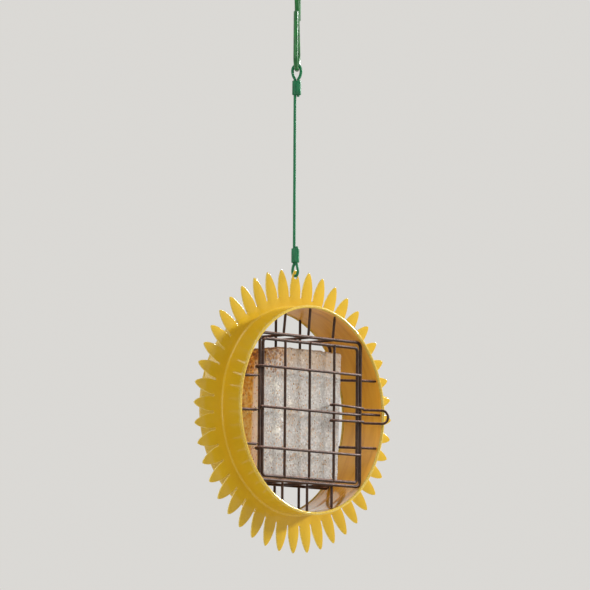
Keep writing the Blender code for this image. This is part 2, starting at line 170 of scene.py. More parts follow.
def linear(code):
    """The linear colour of an sRGB hex value."""
    channels = [int(code[i : i + 2], 16) / 255 for i in (1, 3, 5)]
    return [c / 12.92 if c <= 0.04045 else ((c + 0.055) / 1.055) ** 2.4 for c in channels] + [1.0]


def per(mm):
    """The scale of a pattern whose features are this many millimetres apart."""
    return 1000.0 / mm


def find(sockets, key):
    """The socket with this number, identifier or name."""
    if isinstance(key, int):
        return sockets[key]
    return next(s for s in sockets if s.identifier == key or (s.enabled and s.name == key))


def feed(node, inputs):
    """Gives inputs, by name or in order, a constant, a node (its first output) or (node, output)."""
    for key, value in inputs.items() if isinstance(inputs, dict) else enumerate(inputs):
        socket = find(node.inputs, key)
        if isinstance(value, bpy.types.Node):
            node.id_data.links.new(next(o for o in value.outputs if o.enabled), socket)
        elif isinstance(value, tuple) and isinstance(value[0], bpy.types.Node):
            node.id_data.links.new(find(value[0].outputs, value[1]), socket)
        else:
            socket.default_value = value


def add_node(tree, kind, inputs=None, ramp=(), **settings):
    """Adds a node with its settings, the stops of its ramp and its inputs."""
    # A kind in capitals is the operation of a math node
    if kind.isupper():
        kind, settings["operation"] = "ShaderNodeMath", kind
    node = tree.nodes.new(kind)
    for key, value in settings.items():
        setattr(node, key, value)
    if ramp:
        elements = node.color_ramp.elements
        while len(elements) < len(ramp):
            elements.new(0.5)
        for element, (position, colour) in zip(elements, ramp):
            element.position = position
            element.color = linear(colour)
    feed(node, inputs or {})
    return node


def new_material(name):
    """A material, the function that adds a node to it, and its shader."""
    material = bpy.data.materials.new(name)
    material.use_nodes = True
    tree = material.node_tree
    return material, partial(add_node, tree), tree.nodes["Principled BSDF"]


def powder_coated_steel():
    """Yellow powder coat baked on pressed steel: thick, glossy, orange-peeled, with a painted highlight on
    its rounded edges.
    """
    material, add, shader = new_material("powder_coated_steel_yellow")
    here = (add(COORDINATES), "Object")
    drift = add(NOISE, {"Vector": here, "Scale": per(38), "Detail": 3.0})
    tone = add(RAMP, {"Fac": drift}, ramp=[(0.3, "#DAAF22"), (0.7, "#E4BA2B")])
    # Painted highlight: where light catches the rounded edges, rims and fold, they are painted pale cream
    edge = add("ShaderNodeAttribute", attribute_name="edge")
    patchy = add(NOISE, {"Vector": here, "Scale": per(1.3)})
    thin = add("MULTIPLY", [(edge, "Fac"), patchy])
    thin = add(MAP, {"Value": thin, "From Min": 0.18, "From Max": 0.55, "To Max": 0.85})
    colour = add(MIX, {"Factor": thin, "A": tone, "B": linear("#FCE788")}, data_type="RGBA")
    # Orange peel is about 1 mm across, drawn at 1.6 mm so that it shows in a render of the whole feeder
    peel = add(NOISE, {"Vector": here, "Scale": per(1.6), "Detail": 1.0})
    bump = add(BUMP, {"Height": peel, "Strength": 0.10, "Distance": 0.0002})
    haze = add(MAP, {"Value": drift, "To Min": 0.08, "To Max": 0.14})
    feed(shader, {"Base Color": colour, "Roughness": haze, "Normal": bump, "Specular IOR Level": 0.4})
    return material


def greased_coat():
    """The powder coat inside the tube: dulled by suet oil, which has run down it in orange dribbles; its
    deeper orange all over is partly painted bounce light from the yellow walls.
    """
    material, add, shader = new_material("powder_coated_steel_oiled_bounce_tinted")
    here = (add(COORDINATES), "Object")
    # Dribbles follow the tube round, 5 mm apart across its width
    round_tube = add(VECTOR, [here, (0.12, 1.0, 0.12)], operation="MULTIPLY")
    dribble = add(NOISE, {"Vector": round_tube, "Scale": per(5), "Detail": 4.0, "Distortion": 0.6})
    # Painted bounce light: the whole inside is a deeper orange than the outer coat, besides the oil's
    # dribbles
    tone = add(RAMP, {"Fac": dribble}, ramp=[(0.3, "#E39C23"), (0.42, "#F1A92A"), (0.6, "#F8B433")])
    # Rain rinses the lowest stretch, which keeps its glassy shine between the dribbles
    where = add(SPLIT, {"Vector": here})
    rinsed = add(MAP, {"Value": (where, "Z"), "From Min": -0.440, "From Max": -0.455})
    shine = add(MAP, {"Value": dribble, "From Min": 0.36, "From Max": 0.46})
    shine = add("MULTIPLY", [shine, rinsed])
    rough = add("MULTIPLY_ADD", [shine, -0.25, 0.4])
    feed(shader, {"Base Color": tone, "Roughness": rough, "Specular IOR Level": 0.3})
    feed(shader, {"Coat Weight": shine, "Coat IOR": 1.9, "Coat Roughness": 0.06})
    return material


def coated_wire():
    """Bronze-brown coat on drawn steel wire: dark and satin, with a painted pink highlight on whatever faces
    up.
    """
    material, add, shader = new_material("bronze_coated_wire")
    place = add(COORDINATES)
    here = (place, "Object")
    drift = add(NOISE, {"Vector": here, "Scale": per(9), "Detail": 4.0})
    tone = add(RAMP, {"Fac": drift}, ramp=[(0.32, "#321F14"), (0.68, "#483020")])
    # Suet grease dulls the coat in small spots; a pink highlight is painted on whatever faces up, broken by
    # the spots
    spots = add(NOISE, {"Vector": here, "Scale": per(1.7), "Detail": 3.0})
    facing = add(SPLIT, {"Vector": (place, "Normal")})
    facing_up_and_spotted = add("MULTIPLY_ADD", [(facing, "Z"), 0.45, spots])
    painted_top_highlight = add(MAP, {"Value": facing_up_and_spotted, "From Min": 0.62, "From Max": 0.88, "To Max": 0.78})
    colour = add(MIX, {"Factor": painted_top_highlight, "A": tone, "B": linear("#B58C7D")}, data_type="RGBA")
    rough = add(MAP, {"Value": spots, "To Min": 0.30, "To Max": 0.52})
    bump = add(BUMP, {"Height": spots, "Strength": 0.18, "Distance": 0.0001})
    feed(shader, {"Base Color": colour, "Roughness": rough, "Normal": bump, "Specular IOR Level": 0.22})
    return material


def pressed_suet():
    """Rendered suet pressed with ground seed: pale and speckled, with painted sun glints on its front and
    painted light on its hinge side.
    """
    material, add, shader = new_material("pressed_suet_with_seed")
    place = add(COORDINATES)
    here = (place, "Object")
    where = add(SPLIT, {"Vector": here})
    facing = add(SPLIT, {"Vector": (place, "Normal")})

    def patch(x, z, wide, high, y=-0.015, deep=0.020):
        """1 at a place on the block, 0 at its reach and less beyond."""
        offset = add(VECTOR, [here, RING + Vector((x, y, z))], operation="SUBTRACT")
        offset = add(VECTOR, [offset, (1 / wide, 1 / deep, 1 / high)], operation="MULTIPLY")
        far = add(VECTOR, [offset], operation="LENGTH")
        return add("SUBTRACT", [1.0, far])

    # Chopped fat and meal are under 1 mm, drawn at 1.8 mm so that the grain shows
    grain = add(NOISE, {"Vector": here, "Scale": per(1.8), "Detail": 4.0, "Roughness": 0.7})
    body = add(RAMP, {"Fac": grain}, ramp=[(0.34, "#B6ACA3"), (0.5, "#D0C9C0"), (0.66, "#E8E3DC")])
    # Meal shows warmer where birds have opened the top or rubbed the front, and faintly in clouds
    clouds = add(NOISE, {"Vector": here, "Scale": per(11), "Detail": 4.0})
    level = add("MULTIPLY_ADD", [clouds, 0.02, (where, "Z")])
    opened = add(MAP, {"Value": level, "From Min": -0.348, "From Max": -0.332, "To Max": 0.75})
    cloudy = add(MAP, {"Value": clouds, "From Min": 0.48, "From Max": 0.7, "To Max": 0.3})
    rubbed = add("MULTIPLY", [patch(-0.018, -0.003, 0.012, 0.015), clouds])
    warm = add("MAXIMUM", [opened, cloudy])
    warm = add("MAXIMUM", [warm, rubbed])
    # Painted light on the side towards the hinge: the whole side is painted near white, then orange bounce
    # light from the tube's wall is painted over all but a strip beside the front face
    glow_noise = add(NOISE, {"Vector": here, "Scale": per(3.5), "Detail": 5.0})
    depth = add("MULTIPLY_ADD", [glow_noise, 0.003, (where, "Y")])
    behind = add(MAP, {"Value": depth, "From Min": -0.0026, "From Max": -0.0004})
    behind = add("MAXIMUM", [behind, opened])
    painted_side_light = add(MAP, {"Value": (facing, "X"), "From Min": -0.45, "From Max": -0.8})
    painted_bounce = add("MULTIPLY", [behind, painted_side_light])
    low = add(MAP, {"Value": (where, "Z"), "From Min": -0.36, "From Max": -0.40, "To Max": 0.14})
    deep = add("ADD", [glow_noise, low])
    orange = add(RAMP, {"Fac": deep}, ramp=[(0.34, "#BE8626"), (0.5, "#F2C04C"), (0.68, "#FFEC9C")])
    # Ground seed: flecks about 1 mm across, drawn out lengthwise and crowded at the pecked corner
    lengthwise = add(VECTOR, [here, (1.0, 1.0, 0.6)], operation="MULTIPLY")
    cells = add(VORONOI, {"Vector": lengthwise, "Scale": per(1.45)})
    chance = add(CHANNELS, {"Color": (cells, "Color")})
    pecked = patch(-0.050, 0.050, 0.034, 0.028, y=0, deep=0.080)
    pecked = add("MAXIMUM", [pecked, 0.0])
    crowd = add("MULTIPLY_ADD", [pecked, 0.9, (chance, "Red")])
    crowd = add("MULTIPLY_ADD", [opened, 0.22, crowd])
    chosen = add(MAP, {"Value": crowd, "From Min": 0.72, "From Max": 0.76})
    size = add("MULTIPLY_ADD", [pecked, -0.35, (cells, "Distance")])
    round_bit = add(MAP, {"Value": size, "From Min": 0.5, "From Max": 0.28, "To Max": 0.78})
    fleck = add("MULTIPLY", [chosen, round_bit])
    # Few of them show through the painted bounce light
    outside_painted_bounce = add("MULTIPLY_ADD", [painted_bounce, -0.55, 1.0])
    fleck = add("MULTIPLY", [fleck, outside_painted_bounce])
    darker = add("MULTIPLY_ADD", [pecked, -0.5, (chance, "Green")])
    seed_tone = add(RAMP, {"Fac": darker}, ramp=[
        (0.0, "#74472A"), (0.3, "#A86E3A"), (0.6, "#CF8F4A"), (0.85, "#DDB07C"), (1.0, "#F6EBDA")])
    # Coarse crumbs of nut lie bare in the pecked corner
    lumps = add(VORONOI, {"Vector": here, "Scale": per(2.7)})
    lot = add(CHANNELS, {"Color": (lumps, "Color")})
    bare = add("MULTIPLY_ADD", [pecked, 1.4, (lot, "Red")])
    bare = add(MAP, {"Value": bare, "From Min": 0.99, "From Max": 1.04})
    crumb = add(MAP, {"Value": (lumps, "Distance"), "From Min": 0.6, "From Max": 0.4, "To Max": 0.85})
    crumb = add("MULTIPLY", [crumb, bare])
    crumb_tone = add(RAMP, {"Fac": (lot, "Green")}, ramp=[
        (0.0, "#6E4322"), (0.45, "#8F5C2C"), (0.7, "#C08A48"), (1.0, "#E6CFA8")])
    # Painted sun glints: near-white patches on the front's left, glossier there too
    glint_noise = add(NOISE, {"Vector": lengthwise, "Scale": per(1.5), "Detail": 5.0, "Roughness": 0.7})
    glint_places = patch(-0.0385, 0.018, 0.0105, 0.014)
    for place_and_reach in ((-0.030, -0.006, 0.009, 0.012), (-0.0205, 0.005, 0.006, 0.007),
                            (-0.037, -0.020, 0.011, 0.014), (-0.043, -0.045, 0.005, 0.006)):
        glint_places = add("MAXIMUM", [glint_places, patch(*place_and_reach)])
    area = add("MULTIPLY_ADD", [glint_places, 0.19, glint_noise])
    painted_glint = add(MAP, {"Value": area, "From Min": 0.6, "From Max": 0.69, "To Max": 0.9})
    for amount, colour in (
            (warm, linear("#C3A482")), (painted_side_light, linear("#FFFFFC")), (painted_bounce, orange), (fleck, seed_tone),
            (crumb, crumb_tone), (painted_glint, linear("#FFF6E6"))):
        body = add(MIX, {"Factor": amount, "A": body, "B": colour}, data_type="RGBA")
    bump = add(BUMP, {"Height": grain, "Strength": 0.4, "Distance": 0.0004})
    gloss = add(MAP, {"Value": painted_glint, "To Min": 0.6, "To Max": 0.3})
    feed(shader, {
        "Base Color": body, "Roughness": gloss, "Normal": bump, "Specular IOR Level": 0.3,
        "Subsurface Weight": 0.1, "Subsurface Radius": (0.003, 0.002, 0.0012), "Subsurface Scale": 1.0})
    return material


def seed_husk(name, dark, light, roughness):
    """Seed bits in the suet: dull husks, each a little different in tone."""
    material, add, shader = new_material(name)
    here = (add(COORDINATES), "Object")
    cells = add(VORONOI, {"Vector": here, "Scale": per(3.0)})
    tone = add(RAMP, {"Fac": (cells, "Color")}, ramp=[(0.1, dark), (0.9, light)])
    grain = add(NOISE, {"Vector": here, "Scale": per(0.5)})
    bump = add(BUMP, {"Height": grain, "Strength": 0.3, "Distance": 0.0001})
    feed(shader, {"Base Color": tone, "Normal": bump, "Roughness": roughness})
    return material


def green_coat(name, deep, bright, roughness, coat, scuff):
    """Green polymer on metal: smooth and wet-looking, with faint scuffs where it has rubbed."""
    material, add, shader = new_material(name)
    here = (add(COORDINATES), "Object")
    drift = add(NOISE, {"Vector": here, "Scale": per(6), "Detail": 3.0})
    tone = add(RAMP, {"Fac": drift}, ramp=[(0.3, deep), (0.72, bright)])
    rub = add(NOISE, {"Vector": here, "Scale": per(1.3), "Detail": 5.0, "Roughness": 0.7})
    worn = add(MAP, {"Value": rub, "From Min": 0.6, "From Max": 0.75, "To Max": scuff})
    colour = add(MIX, {"Factor": worn, "A": tone, "B": linear("#7FAE8A")}, data_type="RGBA")
    rough = add(MAP, {"Value": rub, "To Min": roughness * 0.75, "To Max": roughness * 1.4})
    feed(shader, {"Base Color": colour, "Roughness": rough, "Specular IOR Level": 0.4})
    feed(shader, {"Coat Weight": coat, "Coat Roughness": 0.08})
    return material


enamel = powder_coated_steel()
oiled_bounce_tinted_enamel = greased_coat()
bronze = coated_wire()
suet = pressed_suet()
golden_seed = seed_husk("cracked_corn", "#B0772B", "#DDA84B", 0.55)
dark_seed = seed_husk("seed_husk", "#9A744C", "#CDA678", 0.6)
rope_coat = green_coat("green_coated_wire_rope", "#0A6A40", "#0E7C4A", 0.45, 0.0, 0.06)
sleeve_paint = green_coat("green_painted_sleeve", "#045E38", "#0A7C4B", 0.36, 0.0, 0.1)
hook_vinyl = green_coat("green_vinyl_dipped_steel", "#064E20", "#0C7E2C", 0.32, 0.3, 0.0)


def placed(name, data):
    """A new object in the scene."""
    made = bpy.data.objects.new(name, data)
    bpy.context.scene.collection.objects.link(made)
    return made


def finished(name, mesh, material, body, node=None, sharp=None):
    """A mesh becomes a piece that rides on a body, perhaps in a solid's place."""
    piece = placed(name, mesh)
    if not mesh.materials:
        mesh.materials.append(material)
    mesh.shade_smooth()
    if sharp:
        mesh.set_sharp_from_angle(angle=radians(sharp))
    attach(piece, body)
    if node:
        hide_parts(node)
    return piece


def baked(source):
    """The plain mesh that an object's modifiers make. The object itself goes."""
    graph = bpy.context.evaluated_depsgraph_get()
    mesh = bpy.data.meshes.new_from_object(source.evaluated_get(graph))
    bpy.data.objects.remove(source, do_unlink=True)
    return mesh


def plain_mesh(name, points, faces=()):
    mesh = bpy.data.meshes.new(name)
    mesh.from_pydata(points, [], faces)
    return mesh


def closed_mesh(name, points, faces):
    """A mesh that is joined where its points meet, with its faces outward."""
    mesh = plain_mesh(name, points, faces)
    work = bmesh.new()
    work.from_mesh(mesh)
    bmesh.ops.remove_doubles(work, verts=work.verts, dist=SAME_VERTEX)
    bmesh.ops.recalc_face_normals(work, faces=work.faces)
    work.to_mesh(mesh)
    work.free()
    return mesh


def ring_faces(rings, sides, closed):
    """Faces from each ring of points to the next, and from the last to the first if closed."""
    faces = []
    for i in range(rings if closed else rings - 1):
        here, there = i * sides, (i + 1) % rings * sides
        for k in range(sides):
            j = (k + 1) % sides
            faces.append((here + k, here + j, there + j, there + k))
    return faces


def turned(name, profile):
    """A ring turned about the tube's axis from a closed profile of (radius, depth, painted edge highlight).
    """
    points, edges = [], []
    for k in range(TURNED_STEPS):
        angle = 2 * pi * k / TURNED_STEPS
        for radius, y, edge in profile:
            points.append(RING + Vector((radius * cos(angle), y, radius * sin(angle))))
            edges.append(edge)
    mesh = closed_mesh(name, points, ring_faces(TURNED_STEPS, len(profile), closed=True))
    mesh.attributes.new("edge", "FLOAT", "POINT").data.foreach_set("value", edges)
    return mesh


def filleted(corners, bends):
    """Points along straight runs whose inner corners are rounded, each with its own (radius, steps)."""
    corners = [Vector(c) for c in corners]
    points = [corners[0]]
    for i, (radius, steps) in enumerate(bends, start=1):
        here = corners[i]
        before = (corners[i - 1] - here).normalized()
        after = (corners[i + 1] - here).normalized()
        half = before.angle(after) / 2
        centre = here + (before + after).normalized() * (radius / sin(half))
        start = here + before * (radius / tan(half)) - centre
        end = here + after * (radius / tan(half)) - centre
        turn = start.angle(end)
        for k in range(steps + 1):
            mix = start * sin((1 - k / steps) * turn) + end * sin(k / steps * turn)
            points.append(centre + mix / sin(turn))
    points.append(corners[-1])
    return [p for i, p in enumerate(points) if i == 0 or (p - points[i - 1]).length > SAME_POINT]


def arc(centre, radius, start, sweep, steps, drop=0.0):
    angles = [start + sweep * k / steps for k in range(steps + 1)]
    return [centre + Vector((cos(a) * radius, sin(a) * radius, -drop * k / steps))
            for k, a in enumerate(angles)]


def rectangle(half_width, half_height, corner, y):
    """Points round an upright rectangle with round corners."""
    steps, points = 8, []
    for quarter, (side_x, side_z) in enumerate(((1, 1), (-1, 1), (-1, -1), (1, -1))):
        for k in range(steps + 1):
            angle = pi / 2 * (quarter + k / steps)
            x = side_x * (half_width - corner) + corner * cos(angle)
            z = side_z * (half_height - corner) + corner * sin(angle)
            points.append(Vector((x, y, z)))
    return points


def round_wire(node, points, radius=GRID_WIRE, body="feeder", material=bronze, at=RING,
               closed=False, facets=6):
    """Drawn wire along a path, its cut ends rounded by the coat."""
    points = [at + Vector(p) for p in points]
    radii = [1.0] * len(points)
    # How far along and how wide each ring of a rounded end is, in shares of the wire's radius
    cap = ((0.0, 0.45), (0.12, 0.72), (0.35, 0.92), (1.0, 1.0))
    if not closed:
        for _ in range(2):
            points.reverse()
            radii.reverse()
            inward = (points[1] - points[0]).normalized()
            points[:1] = [points[0] + inward * (radius * along) for along, _ in cap]
            radii[:1] = [share for _, share in cap]
    data = bpy.data.curves.new(node, "CURVE")
    data.dimensions = "3D"
    data.bevel_depth = radius
    data.bevel_resolution = facets
    data.use_fill_caps = True
    spline = data.splines.new("POLY")
    spline.points.add(len(points) - 1)
    for target, point, share in zip(spline.points, points, radii):
        target.co = (*point, 1)
        target.radius = share
    spline.use_cyclic_u = closed
    return finished(f"{node}_drawn", baked(placed(node, data)), material, body, node)


def wall_reach(offset):
    """How far out a grid wire ends at the tube's wall, at this offset from the middle."""
    return sqrt(WALL_INSIDE**2 - (abs(offset) + GRID_WIRE) ** 2)


welds = {"feeder": [], "door": []}


def make_cage():
    beads = welds["feeder"]
    for node, y in (("cage_front_frame", FRONT_Y), ("cage_back_frame", BACK_Y)):
        round_wire(node, rectangle(FRAME_HALF, FRAME_HALF, FRAME_CORNER, y), FRAME_WIRE, closed=True)
    for step, name in ROWS:
        middle = HOOP_MIDDLE_Z + step * HOOP_PITCH
        paths = []
        for side in (-1, 1):
            end_x = side * wall_reach(middle + side * HOOP_RISE * WALL_INSIDE)
            side_x = side * HOOP_SIDE_X
            stops = ((end_x, FLARE_Y, 0.0), (side_x, FLARE_Y, 0.0), (side_x, HOOP_BACK_Y, HOOP_CLIMB))
            paths.append([Vector((x, y, middle + HOOP_RISE * x + climb)) for x, y, climb in stops])
            cross_x = side * (FRAME_HALF + LAP / 2)
            cross_z = middle + HOOP_RISE * side * FRAME_HALF
            beads += [(cross_x, FRONT_Y, cross_z), (cross_x, BACK_Y, cross_z + HOOP_CLIMB),
                      (end_x + side * GAP, FLARE_Y, middle + HOOP_RISE * end_x)]
        points = filleted(paths[0] + paths[1][::-1], (FLARE_BEND, HOOP_BEND, HOOP_BEND, FLARE_BEND))
        round_wire(f"cage_hoop_{name}", points)
        for column, _ in COLUMNS:
            x = column * BACK_COLUMN
            beads.append((x, (HOOP_BACK_Y + BACK_UPRIGHT_Y) / 2, middle + HOOP_RISE * x + HOOP_CLIMB))
    front = FRONT_Y + FRAME_WIRE + GAP
    back = BACK_Y - FRAME_WIRE - GAP
    stay_y = FRONT_Y + LAP
    stay_top = FRAME_HALF + GRID_WIRE + 2 * GAP
    stay_low = FRAME_HALF + GRID_WIRE + GAP
    for step, name in COLUMNS:
        x = step * BACK_COLUMN
        reach = wall_reach(x)
        round_wire(f"back_upright_{name}", [(x, BACK_UPRIGHT_Y, -reach), (x, BACK_UPRIGHT_Y, reach)])
        beads += [(x, BACK_UPRIGHT_Y, side * (reach + GAP)) for side in (-1, 1)]
        x = step * COLUMN
        reach = wall_reach(x)
        round_wire(f"top_stay_{name}", [(x, stay_y, stay_top), (x, FLARE_Y, reach)])
        round_wire(f"bottom_stay_{name}", [(x, LOW_STAY_Y, -stay_low), (x, LOW_STAY_Y, -reach)])
        beads += [(x, stay_y, stay_top - GAP), (x, FLARE_Y, reach + GAP),
                  (x, LOW_STAY_Y, -stay_low), (x, LOW_STAY_Y, -reach - GAP)]
        for part, z in (("roof", FRAME_HALF), ("floor", -FRAME_HALF)):
            ends = [(x, front, z), (x, back, z)]
            round_wire(f"{part}_wire_{name}", ends)
            beads += ends


def make_door():
    beads = welds["door"]
    sag = Vector((0, 0, -DOOR_SAG))
    outline = [p + sag for p in rectangle(DOOR_HALF_WIDTH, DOOR_HALF_HEIGHT, DOOR_CORNER, FRONT_Y)]
    round_wire("door_frame", outline, FRAME_WIRE, "door", closed=True)
    end_z = DOOR_HALF_HEIGHT + DOOR_UPRIGHT_PAST
    for step, name in COLUMNS:
        x = DOOR_COLUMN_SHIFT + step * DOOR_COLUMN
        # Pressed a little into the frame and the rails, as resistance welds are
        y = DOOR_UPRIGHT_Y - DOOR_UPRIGHT_PRESSED
        ends = [Vector((x, y, side * end_z)) + sag for side in (-1, 1)]
        round_wire(f"door_upright_{name}", ends, body="door")
        beads += [(x, (RAIL_Y + FRONT_Y) / 2, side * DOOR_HALF_HEIGHT - DOOR_SAG) for side in (-1, 1)]
        beads += [(x, (DOOR_UPRIGHT_Y + RAIL_Y) / 2, row * RAIL_PITCH - DOOR_SAG) for row in (-1, 0, 1)]
    for step, name in ROWS:
        z = step * RAIL_PITCH - DOOR_SAG
        points = [Vector((DOOR_HALF_WIDTH + FRAME_WIRE, RAIL_Y, z))]
        if step:
            hinge = Vector((-FRAME_HALF, FRONT_Y, z))
            points += arc(hinge, LAP, -pi / 2, -HINGE_EYE_TURN, 24, HINGE_EYE_DROP)
        else:
            points.append(Vector((-FRAME_HALF - RAIL_PAST, RAIL_Y, z)))
        round_wire(f"door_rail_{name}", points, body="door")
        beads += [(side * DOOR_HALF_WIDTH, (RAIL_Y + FRONT_Y) / 2, z) for side in (-1, 1)]


def make_latch():
    """The loop: an eye round the door's upright, a leg with a kink over the frame, and a bent tab."""
    eye_radius = GRID_WIRE + GAP + LATCH_WIRE
    leg_y = DOOR_UPRIGHT_Y - eye_radius
    kink_x = FRAME_HALF + FRAME_WIRE + GAP + LATCH_WIRE
    kink_run, kink_out, kink_drop = LATCH_KINK
    tab = Vector((cos(LATCH_TAB_BEND), -sin(LATCH_TAB_BEND), 0)) * LATCH_TAB
    halves = []
    for side, eye_z in ((1, LATCH_EYE_TOP), (-1, LATCH_EYE_LOW)):
        end_z = LATCH_END_Z + side * LATCH_END
        centre = Vector((DOOR_COLUMN_SHIFT + DOOR_COLUMN, DOOR_UPRIGHT_Y, eye_z))
        eye = arc(centre, eye_radius, -pi / 2 - LATCH_EYE_TURN, LATCH_EYE_TURN, 22)
        kink = Vector((kink_x, leg_y + kink_out, end_z - kink_drop))
        halves.append((eye, [eye[-1], Vector((kink_x - kink_run, leg_y, end_z)), kink, kink + tab]))
    (top_eye, top_leg), (low_eye, low_leg) = halves
    bends = (LATCH_BEND, LATCH_BEND, LATCH_END_BEND, LATCH_END_BEND, LATCH_BEND, LATCH_BEND)
    loop = filleted(top_leg + low_leg[::-1], bends)
    round_wire("latch_loop", top_eye + loop[1:-1] + low_eye[::-1], LATCH_WIRE, "latch")


def new_group(name, inputs, output):
    """A geometry node tree, the function that adds a node to it, and its input node."""
    tree = bpy.data.node_groups.new(name, "GeometryNodeTree")
    for label, kind in inputs.items():
        tree.interface.new_socket(label, in_out="INPUT", socket_type=f"NodeSocket{kind}")
    tree.interface.new_socket(output, in_out="OUTPUT", socket_type="NodeSocketGeometry")
    add = partial(add_node, tree)
    return tree, add, add("NodeGroupInput")


def close_group(add, given, copies, join=None):
    """Ends a tree: its copies become one mesh, joined where they meet if asked, and coated."""
    solid = add("GeometryNodeRealizeInstances", {"Geometry": copies})
    if join:
        solid = add("GeometryNodeMergeByDistance", {"Geometry": solid, "Distance": join})
    coated = add("GeometryNodeSetMaterial", {"Geometry": solid, "Material": (given, "Coat")})
    add("NodeGroupOutput", [coated])


def grown(name, mesh, tree, values):
    """The plain mesh that a node tree makes from a start mesh, its inputs given by name."""
    source = placed(name, mesh)
    modifier = source.modifiers.new(name, "NODES")
    modifier.node_group = tree
    for item in tree.interface.items_tree:
        if item.in_out == "INPUT" and item.name in values:
            modifier[item.identifier] = values[item.name]
    return baked(source)


def weld_tree():
    """Nuggets of weld under the coat: a rough bead at each point, none quite like the next."""
    inputs = {"Points": "Geometry", "Bead Radius": "Float", "Seed": "Int", "Coat": "Material"}
    tree, add, given = new_group("weld_beads", inputs, "Beads")
    bead = add("GeometryNodeMeshIcoSphere", {"Radius": (given, "Bead Radius"), "Subdivisions": 2})
    size, turn = (
        add(RANDOM, {"Min": low, "Max": high, "Seed": (given, "Seed")}, data_type="FLOAT_VECTOR")
        for low, high in (((0.75, 0.75, 0.75), (1.25, 1.25, 1.2)), ((-0.5, -0.5, -0.5), (0.5, 0.5, 0.5))))
    beads = add(SCATTER, {"Points": (given, "Points"), "Instance": bead, "Rotation": turn, "Scale": size})
    close_group(add, given, beads)
    return tree


def make_welds():
    tree = weld_tree()
    for seed, (body, points) in enumerate(welds.items(), start=3):
        start = plain_mesh(f"{body}_weld_points", [RING + Vector(p) for p in points])
        mesh = grown(f"{body}_welds", start, tree, {"Bead Radius": WELD_BEAD, "Seed": seed, "Coat": bronze})
        finished(f"{body}_weld_beads", mesh, bronze, body)


def make_band():
    """The rolled tube, turned from a profile with both hems, a highlight painted on its rims."""
    middle = BAND_RADIUS - BAND_SHEET / 2
    opening = asin(BAND_SHEET / 2 / HEM)
    hem_steps, wall_steps = 16, 12
    wall = BAND_FRONT + BAND_REAR - 2 * HEM
    profile = []
    for rim, side, radius in ((BAND_FRONT, 1, BAND_RADIUS), (-BAND_REAR, -1, BAND_RADIUS - BAND_SHEET)):
        for k in range(hem_steps + 1):
            angle = (pi - opening) * (2 * k / hem_steps - 1) * side
            profile.append((middle + HEM * sin(angle), -(rim + side * HEM * cos(angle)), RIM_HIGHLIGHT))
        for k in range(1, wall_steps):
            profile.append((radius, -(rim - side * (HEM + wall * k / wall_steps)), 0.0))
    mesh = turned("rolled_band", profile)
    for coat in (enamel, oiled_bounce_tinted_enamel):
        mesh.materials.append(coat)
    for face in mesh.polygons:
        inside = BAND_RADIUS - 0.6 * BAND_SHEET > (face.center - RING).xz.length
        between = HEM - BAND_REAR < RING.y - face.center.y < BAND_FRONT - HEM
        face.material_index = 1 if inside and between else 0
    finished("rolled_band", mesh, enamel, "feeder", "ring_band", sharp=50)


def petal_half_width(share):
    """Half a petal's width at a share of its length: full at its foot, then drawn in to a blunt tip."""
    full = pi * (PETAL_ROOT + min(share, PETAL_FULL_SHARE) * PETAL_LENGTH) / PETALS - SLOT / 2
    beyond = max(0.0, (share - PETAL_FULL_SHARE) / (1 - PETAL_FULL_SHARE))
    return full * (1 - beyond**PETAL_TAPER) ** PETAL_BLUNTNESS


def petal_sector():
    """One petal with its share of the flange, its sides left open where it meets the next."""
    shares = [0.0, 0.08, 0.15, 0.22, 0.3, 0.38, 0.46, 0.54, 0.62, 0.69, 0.76, 0.82, 0.87, 0.91, 0.945,
              0.97, 0.987]
    half = [(petal_half_width(share), PETAL_ROOT + share * PETAL_LENGTH) for share in shares]
    tip = [(0.0003, PETAL_ROOT + 0.9965 * PETAL_LENGTH), (0.0, PETAL_ROOT + PETAL_LENGTH)]
    between = pi / PETALS
    steps = 4
    slot_end = []
    for k in range(steps):
        turn = pi / 2 * k / steps
        radius = PETAL_ROOT - SLOT / 2 * cos(turn)
        aside = -SLOT / 2 * sin(turn)
        slot_end.append((radius * sin(between) + aside * cos(between),
                         radius * cos(between) - aside * sin(between)))
    right = slot_end + half + tip
    outline = [Vector(p) for p in right] + [Vector((-x, z)) for x, z in reversed(right[:-1])]
    inward = []
    for i, point in enumerate(outline):
        if i in (0, len(outline) - 1):
            inward.append(-point.normalized())
            continue
        along = (outline[i + 1] - outline[i - 1]).normalized()
        inward.append(Vector((-along.y, along.x)))
    work = bmesh.new()
    edge = work.verts.layers.float.new("edge")
    loops = []
    for side in (-1, 1):
        for k in range(steps + 1):
            turn = pi / 2 * (k / steps if side < 0 else 1 - k / steps)
            inset = EDGE_ROUND * (1 - sin(turn))
            y = side * (FLANGE_SHEET / 2 - EDGE_ROUND * (1 - cos(turn)))
            loop = []
            for point, normal in zip(outline, inward):
                at = point + normal * inset
                vert = work.verts.new((at.x, y, at.y))
                # The petals' edges carry a painted highlight, weaker in the round end of a slot
                vert[edge] = 0.3 + (0.7 if at.y > PETAL_ROOT else 0.1) * sin(turn)
                loop.append(vert)
            loops.append(loop)
    for a, b in zip(loops, loops[1:]):
        for i in range(len(outline) - 1):
            work.faces.new((a[i], a[i + 1], b[i + 1], b[i]))
    bore = BAND_RADIUS + GAP / 2
    for loop, y in ((loops[0], -FLANGE_SHEET / 2), (loops[-1], FLANGE_SHEET / 2)):
        foot = []
        for k in range(steps + 1):
            angle = -between + 2 * between * k / steps
            foot.append(work.verts.new((bore * sin(angle), y, bore * cos(angle))))
        face = work.faces.new(loop + foot)
        for side in face.edges:
            if not side.is_boundary:
                side.smooth = False
    bmesh.ops.recalc_face_normals(work, faces=work.faces)
    if min(work.faces, key=lambda f: f.calc_center_median().y).normal.y > 0:
        bmesh.ops.reverse_faces(work, faces=work.faces)
    mesh = bpy.data.meshes.new("petal_sector")
    work.to_mesh(mesh)
    work.free()
    return mesh


